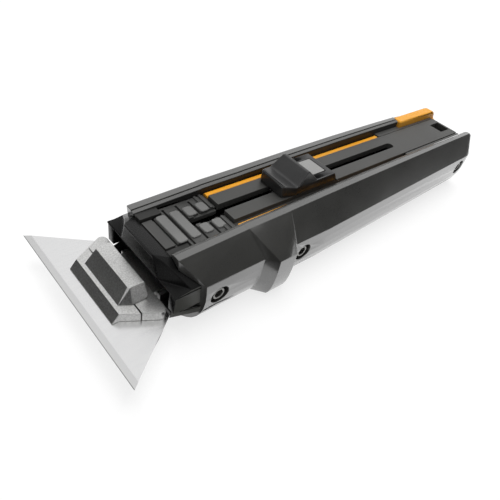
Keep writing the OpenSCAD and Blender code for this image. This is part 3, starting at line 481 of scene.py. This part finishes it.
# %% Pieces with rounded edges
ROUNDING = {
    "nose_housing": 0.25, "top_plate": 0.12, "thumb_pad": 0.12, "right_accent_strip": 0.15,
    "magazine_tab": 0.8, "slider_button": 0.34, "lock_button": 0.12, "head_plate": 0.12,
    "front_jaw": 0.12, "clamp_block": 0.16, "lower_jaw": 0.12,
}
EAR_SIDE_Y = 15.5 * MM
SIDEWAYS = 0.85

rounded = {}
for node, width in ROUNDING.items():
    rounded[node] = install(round_edges(clean_copy(node), width * MM), node)

nose = rounded["nose_housing"]
nose.data.materials.append(EAR_PLASTIC)
for face in nose.data.polygons:
    if abs(face.center.y) > EAR_SIDE_Y and abs(face.normal.y) > SIDEWAYS:
        face.material_index = 1

# %% [markdown]
# ## Shells
# The two shells are what the hand holds. Their tail ends in a round side profile, which a prism
# cuts from the copies. On the near side the low cheek beside the thumb pad is cut down to the
# pad's base. Moving vertices would pull flat faces out of their plane, so Boolean modifiers make
# both changes. The facets stay crisp: only steps above 20 degrees are edges, and the curved lower
# corner has smaller ones.

# %% Tools that cut the shells
TAIL_X = 89.1 * MM
TAIL_ROUND_X = 6.5 * MM
TAIL_ROUND_Z = 8.5 * MM
RAIL_TOP_Z = 25.6 * MM
PROFILE_STEPS = 10
FRONT_X, BELOW_Z, ASIDE_Y = -0.2, -0.01, 0.05
CHEEK_X = (-66.4 * MM, -53.4 * MM)
CHEEK_Y = (-9.19 * MM, -6.2 * MM)
CHEEK_Z = (21.25 * MM, 24.0 * MM)


def cut_with(piece, tool, operation):
    cut = piece.modifiers.new("cut", "BOOLEAN")
    cut.operation = operation
    cut.solver = "EXACT"
    cut.object = tool
    flatten(piece)


def prism(name, side):
    """A prism across the tool, over an outline of points in X and Z."""
    count = len(side)
    points = [(x, y, z) for y in (-ASIDE_Y, ASIDE_Y) for x, z in side]
    faces = [tuple(range(count)), tuple(reversed(range(count, 2 * count)))]
    faces += [(i, i + count, (i + 1) % count + count, (i + 1) % count) for i in range(count)]
    mesh = bpy.data.meshes.new(name)
    mesh.from_pydata(points, [], faces)
    work = bmesh.new()
    work.from_mesh(mesh)
    bmesh.ops.recalc_face_normals(work, faces=work.faces)
    work.to_mesh(mesh)
    work.free()
    return new_piece(name, mesh)


def tail_profile():
    """The outline of the whole tool from the side, with an ellipse at the upper tail corner."""
    side = [(FRONT_X, BELOW_Z), (TAIL_X, BELOW_Z)]
    for step in range(PROFILE_STEPS + 1):
        turn = math.pi / 2 * step / PROFILE_STEPS
        side.append((TAIL_X - TAIL_ROUND_X * (1 - math.cos(turn)),
                     RAIL_TOP_Z - TAIL_ROUND_Z * (1 - math.sin(turn))))
    return side + [(FRONT_X, RAIL_TOP_Z)]


def cheek_block():
    """The block of the near cheek that is cut away."""
    corners = [(x, y, z) for z in CHEEK_Z for x in CHEEK_X for y in CHEEK_Y]
    faces = [(0, 1, 3, 2), (4, 6, 7, 5), (0, 4, 5, 1), (2, 3, 7, 6), (0, 2, 6, 4), (1, 5, 7, 3)]
    mesh = bpy.data.meshes.new("cheek_cut")
    mesh.from_pydata(corners, [], faces)
    return new_piece("cheek_cut", mesh)


print("profile points:", len(tail_profile()))

# %% [markdown]
# ### Cutting and rounding the shells
# Each copy is cut with the Boolean modifier, rounded and installed. The faces of the rails that
# look into the channel get a second finish, darker and rougher than the outside.

# %% Shells
SHELL_FLAT, SHELL_ANGLE = 0.1, 20.0
SHELL_ROUNDING = 0.16 * MM
CHANNEL_Y = 9.35 * MM
CHANNEL_Z = 18.0 * MM
UPWARDS = 0.9

profile = prism("tail_profile", tail_profile())
cheek = cheek_block()
for node in ("left_shell", "right_shell"):
    piece = clean_copy(node, SHELL_FLAT)
    cut_with(piece, profile, "INTERSECT")
    if node == "left_shell":
        cut_with(piece, cheek, "DIFFERENCE")
    install(round_edges(piece, SHELL_ROUNDING, SHELL_ANGLE), node)
    piece.data.materials.append(CHANNEL_PLASTIC)
    for face in piece.data.polygons:
        inward = face.normal.y * face.center.y < 0 or face.normal.z > UPWARDS
        if abs(face.center.y) < CHANNEL_Y and face.center.z > CHANNEL_Z and inward:
            face.material_index = 1
bpy.data.objects.remove(profile)
bpy.data.objects.remove(cheek)

# %% [markdown]
# ## Near accent strip
# Seen over the near rail only a thin line of this strip shows, because it lies low against the
# rail. The copy of its solid is narrowed from the plate's side. It is a plain bar, so its inner
# vertices can simply be moved.

# %% Near accent strip
NEAR_STRIP_Y = -7.9 * MM
STRIP_ROUNDING = 0.10 * MM

strip = clean_copy("left_accent_strip")
for vertex in strip.data.vertices:
    vertex.co.y = min(vertex.co.y, NEAR_STRIP_Y)
install(round_edges(strip, STRIP_ROUNDING), "left_accent_strip")

# %% [markdown]
# ## Shapes that repeat
# The pad's ribs and the six screws each follow one rule, so Geometry Nodes make them: one rib or
# screw is built from primitives and then placed on points. The result is turned into a plain
# mesh. A modifier's inputs are set by their sockets' identifiers, which the class keeps under
# each input's name.

# %% Geometry tree
LENGTH, COUNT, MATERIAL = "NodeSocketFloat", "NodeSocketInt", "NodeSocketMaterial"


class Shape(Graph):
    """A Geometry Nodes tree with named inputs."""

    def __init__(self, name, inputs):
        super().__init__(bpy.data.node_groups.new(name, "GeometryNodeTree"))
        sockets = self.tree.interface
        for way in ("OUTPUT", "INPUT"):
            sockets.new_socket("Geometry", in_out=way, socket_type="NodeSocketGeometry")
        self.marks = {}
        for label, kind in inputs.items():
            made = sockets.new_socket(label, in_out="INPUT", socket_type=kind)
            self.marks[label] = made.identifier
        self.given = self.node("NodeGroupInput")

    def vector(self, **parts):
        return self.node("ShaderNodeCombineXYZ", {}, parts).out()

    def moved(self, mesh, **parts):
        values = {"Geometry": mesh, "Translation": self.vector(**parts)}
        return self.node("GeometryNodeTransform", {}, values).out()

    def close(self, mesh):
        real = self.node("GeometryNodeRealizeInstances", {}, {"Geometry": mesh}).out()
        values = {"Geometry": real, "Material": self.given.out("Material")}
        painted = self.node("GeometryNodeSetMaterial", {}, values).out()
        self.node("NodeGroupOutput", {}, {"Geometry": painted})

    def run(self, piece, values):
        modifier = piece.modifiers.new("shape", "NODES")
        modifier.node_group = self.tree
        for label, value in values.items():
            modifier[self.marks[label]] = value
        return flatten(piece)


print("tree class ready")

# %% [markdown]
# ### Ribs of the thumb pad
# The pad carries low rounded bars across its width, so that the thumb doesn't slip. Those beside
# the slot are split in two. One bar is a rectangle with rounded corners that is filled and
# raised. A tree with named sizes keeps all of them alike.

# %% Tree of the ribs
CORNER_STEPS = 5
SEAM = 1e-6


def rib_tree():
    shape = Shape("pad_rib_rows", {
        "First X": LENGTH, "Pitch": LENGTH, "Count": COUNT, "Base Z": LENGTH,
        "Near Y": LENGTH, "Far Y": LENGTH, "Width": LENGTH, "Height": LENGTH,
        "Corner": LENGTH, "Material": MATERIAL})
    given = shape.given.out
    outline = shape.node("GeometryNodeCurvePrimitiveQuadrilateral", {"mode": "RECTANGLE"},
                         {"Width": given("Width"), "Height": given("Far Y") - given("Near Y")})
    rounded_outline = shape.node("GeometryNodeFilletCurve", {"mode": "POLY"},
                                 {"Curve": outline.out(), "Count": CORNER_STEPS,
                                  "Radius": given("Corner"), "Limit Radius": True})
    face = shape.node("GeometryNodeFillCurve", {"mode": "NGONS"},
                      {"Curve": rounded_outline.out()}).out()
    raised = shape.node("GeometryNodeExtrudeMesh", {"mode": "FACES"},
                        {"Mesh": face, "Offset Scale": given("Height"),
                         "Individual": False}).out()
    base = shape.node("GeometryNodeFlipFaces", {}, {"Mesh": face}).out()
    both = shape.node("GeometryNodeJoinGeometry", {}, {"Geometry": [raised, base]}).out()
    solid = shape.node("GeometryNodeMergeByDistance", {},
                       {"Geometry": both, "Distance": SEAM}).out()
    first = shape.vector(X=given("First X"), Z=given("Base Z"))
    line = shape.node("GeometryNodeMeshLine", {"mode": "OFFSET"},
                      {"Count": given("Count"), "Start Location": first,
                       "Offset": shape.vector(X=given("Pitch"))}).out()
    middle = (given("Far Y") + given("Near Y")) * 0.5
    shape.close(shape.node("GeometryNodeInstanceOnPoints", {},
                           {"Points": line, "Instance": shape.moved(solid, Y=middle)}).out())
    return shape


rib_shape = rib_tree()
print("rib tree nodes:", len(rib_shape.tree.nodes))

# %% [markdown]
# ### Rows of ribs
# There are two whole bars at the front and two split ones at each side of the slot. The rows
# share their pitch, height and width. Each is given by the X of its first bar and the Y of its
# near and far ends, in millimetres.

# %% Rows of ribs
RIB_ROWS = {
    "pad_front_ribs": (-59.65, -6.3, 6.0),
    "pad_near_ribs": (-50.75, -6.3, -2.3),
    "pad_far_ribs": (-50.75, 1.9, 6.0),
}
ROW = {"Pitch": 4.45 * MM, "Count": 2, "Base Z": 21.5 * MM, "Width": 3.2 * MM,
       "Height": 0.62 * MM, "Corner": 0.9 * MM, "Material": RUBBER}
RIB_ROUNDING, RIB_ANGLE, RIB_SEGMENTS = 0.45 * MM, 40.0, 4

for name, (first, near, far) in RIB_ROWS.items():
    ribs = new_piece(name, bpy.data.meshes.new(name))
    rib_shape.run(ribs, {"First X": first * MM, "Near Y": near * MM, "Far Y": far * MM, **ROW})
    round_edges(ribs, RIB_ROUNDING, RIB_ANGLE, RIB_SEGMENTS)
    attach(ribs, body_of["thumb_pad"])
    print(name, "faces:", len(ribs.data.polygons))

# %% [markdown]
# ### Screws
# Three screws on each side hold the shells together. Each has a round head with a hexagonal
# socket, set deep in its counterbore. One screw is cut with Mesh Boolean nodes and stands on
# every point, turned to face away from the middle of the tool.

# %% Tree of the screws
HEAD_SIDES, SOCKET_SIDES, SHANK_SIDES = 36, 6, 24
SHANK_START = 0.9


def screw_tree():
    shape = Shape("screw_set", {
        "Head Radius": LENGTH, "Head Height": LENGTH, "Socket Radius": LENGTH,
        "Socket Depth": LENGTH, "Shank Radius": LENGTH, "Shank Length": LENGTH,
        "Material": MATERIAL})
    given = shape.given.out

    def rod(sides, radius, height):
        return shape.node("GeometryNodeMeshCylinder", {"fill_type": "NGON"},
                          {"Vertices": sides, "Radius": radius, "Depth": height}).out()

    def boolean(operation, values):
        settings = {"operation": operation, "solver": "EXACT"}
        return shape.node("GeometryNodeMeshBoolean", settings, values).out()

    head = shape.moved(rod(HEAD_SIDES, given("Head Radius"), given("Head Height")),
                       Z=given("Head Height") * -0.5)
    socket = rod(SOCKET_SIDES, given("Socket Radius"), given("Socket Depth") * 2.0)
    shank = shape.moved(rod(SHANK_SIDES, given("Shank Radius"), given("Shank Length")),
                        Z=given("Shank Length") * -0.5 - given("Head Height") * SHANK_START)
    body = boolean("UNION", {"Mesh 2": [head, shank]})
    screw = boolean("DIFFERENCE", {"Mesh 1": body, "Mesh 2": socket})
    place = shape.node("GeometryNodeInputPosition").out()
    side = shape.node("ShaderNodeSeparateXYZ", {}, {0: place}).out("Y")
    sign = shape.node("ShaderNodeMath", {"operation": "SIGN"}, {0: side}).out()
    turned = shape.vector(X=sign * (-math.pi / 2))
    values = {"Points": given("Geometry"), "Instance": screw, "Rotation": turned}
    shape.close(shape.node("GeometryNodeInstanceOnPoints", {}, values).out())
    return shape


screw_shape = screw_tree()
print("screw tree nodes:", len(screw_shape.tree.nodes))

# %% [markdown]
# ### The six screws
# The places of one side are mirrored to the other. Each lies in the middle of the face of its
# head, and is given in millimetres. The heads are a little taller than the solids', as the real
# ones look.

# %% The six screws
SCREW_PLACES = ((-54.8, 18.1, 9.5), (-21.17, 18.1, 10.2), (81.8, 14.67, 11.0))
SCREW = {"Head Radius": 2.05 * MM, "Head Height": 2.7 * MM, "Socket Radius": 1.5 * MM,
         "Socket Depth": 1.6 * MM, "Shank Radius": 1.2 * MM, "Shank Length": 3.2 * MM,
         "Material": SCREW_STEEL}
SCREW_ROUNDING, SCREW_ANGLE = 0.22 * MM, 40.0

mesh = bpy.data.meshes.new("body_screws_finished")
points = [(x * MM, side * y * MM, z * MM) for x, y, z in SCREW_PLACES for side in (-1, 1)]
mesh.from_pydata(points, [], [])
screws = new_piece("body_screws_finished", mesh)
screw_shape.run(screws, SCREW)
install(round_edges(screws, SCREW_ROUNDING, SCREW_ANGLE), "body_screws")

# %% [markdown]
# ## Studio
# The floor and the world are pale. Only camera, glossy and transmission rays see the full white,
# so the picture has a white ground without more light on the object, and the floor still takes
# its shadow.

# %% Floor and world
FLOOR_SIZE, FLOOR_Z = 6.0, -0.02 * MM
FLOOR_CLOUDS, FLOOR_TONES, FLOOR_GLOW = 9.0, (0.33, 0.37), 0.74
WORLD_TONE, WORLD_FILL = 0.8, 0.40


def sheet(name, width, height):
    """A flat stage panel around its own middle."""
    mesh = bpy.data.meshes.new(name)
    x, y = width / 2, height / 2
    mesh.from_pydata([(-x, -y, 0), (x, -y, 0), (x, y, 0), (-x, y, 0)], [], [(0, 1, 2, 3)])
    return new_piece(name, mesh)


def cloudy(finish, scale, dim, bright):
    """A matt paint that wanders between two greys."""
    patches = finish.remap(finish.noise(scale, 3.0), 0.3, 0.7)
    tone = finish.mix(patches, grey(dim), grey(bright))
    return finish.node("ShaderNodeBsdfDiffuse", {}, {"Color": tone})


def floor_finish():
    finish = Finish("floor_paint")
    paint = cloudy(finish, FLOOR_CLOUDS, *FLOOR_TONES)
    values = {"Color": grey(1.0), "Strength": finish.seen_rays() * FLOOR_GLOW}
    glow = finish.node("ShaderNodeEmission", {}, values)
    return finish.end(finish.node("ShaderNodeAddShader", {}, {0: paint.out(), 1: glow.out()}))


def floor():
    piece = sheet("floor", FLOOR_SIZE, FLOOR_SIZE)
    piece.location.z = FLOOR_Z
    give_finish(piece, floor_finish())


def world():
    made = bpy.data.worlds.new("studio")
    made.use_nodes = True
    graph = Graph(made.node_tree)
    strength = graph.remap(graph.seen_rays(), 0.0, 1.0, WORLD_FILL, 1.0)
    values = {"Color": grey(WORLD_TONE), "Strength": strength}
    sky = graph.node("ShaderNodeBackground", {}, values)
    graph.node("ShaderNodeOutputWorld", {}, {"Surface": sky.out()})
    scene.world = made


floor()
world()
print("floor and world ready")

# %% [markdown]
# ### Dark cards
# In an all-white room the bevels of the head and the upper panels of the shells would mirror
# white. In a photo studio black cards stand where such a facet looks, and so they do here:
# upright ones at the front, the near side and the tail, and mats on the floor. Only reflections
# see them. A card is given by its place, the point that it faces, its width and height, and the
# tone of its cloth. A mat lies flat.

# %% Dark cards
MAT_Z, ABOVE_Z = 0.3 * MM, 1.0
CLOTH_CLOUDS, CLOTH_SPREAD = 60.0, 1.6
HEAD_MIDDLE = (-0.07, 0.0, 0.01)
CARDS = {
    "front_card": ((-0.42, 0.26, 0.15), HEAD_MIDDLE, (0.8, 0.5), 0.09),
    "near_card": ((-0.17, -0.60, 0.25), (-0.17, 0.0, 0.25), (1.06, 0.56), 0.07),
    "side_card": ((0.66, -0.35, 0.30), (0.2, 0.19, 0.30), (0.79, 0.66), 0.08),
}
MATS = {
    "front_mat": ((-0.26, 0.17), (0.33, 0.40), 0.09),
    "near_mat": ((-0.237, -0.242), (0.406, 0.42), 0.02),
    "nose_mat": ((-0.065, -0.0255), (0.014, 0.015), 0.02),
    "side_mat": ((0.38, -0.20), (0.50, 0.34), 0.08),
}


def aim(made, place, target):
    made.location = Vector(place)
    made.rotation_mode = "QUATERNION"
    made.rotation_quaternion = (Vector(target) - Vector(place)).to_track_quat("-Z", "Y")


def dark_card(name, place, target, size, dark):
    piece = sheet(name, *size)
    aim(piece, place, target)
    finish = Finish(name + "_cloth")
    give_finish(piece, finish.end(cloudy(finish, CLOTH_CLOUDS, dark, dark * CLOTH_SPREAD)))
    piece.visible_camera = False
    piece.visible_shadow = False
    piece.visible_diffuse = False


for name, (place, target, size, dark) in CARDS.items():
    dark_card(name, place, target, size, dark)
for name, (place, size, dark) in MATS.items():
    dark_card(name, (*place, MAT_Z), (*place, ABOVE_Z), size, dark)
print("cards:", len(CARDS), "mats:", len(MATS))

# %% [markdown]
# ### Lamps
# One large lamp overhead and a smaller one behind give a soft, even light. Reflections don't see
# them, so no bright rectangle shows in the steel.

# %% Lamps
def lamp(name, place, target, size, power):
    data = bpy.data.lights.new(name, "AREA")
    data.shape = "RECTANGLE"
    data.size, data.size_y = size
    data.energy = power
    made = bpy.data.objects.new(name, data)
    scene.collection.objects.link(made)
    aim(made, place, target)
    made.visible_glossy = False


lamp("overhead", place=(0.10, 0.10, 0.9), target=(0, 0, 0), size=(0.7, 0.7), power=5.0)
lamp("back", place=(0.7, 0.45, 0.5), target=(0, 0, 0.01), size=(0.5, 0.3), power=1.5)
print("lamps ready")

# %% [markdown]
# ## Size and closing
# The visual model stays inside the solid model's box.

# %% Sizes
def corners(box):
    return [list(box[0]), list(box[1])]
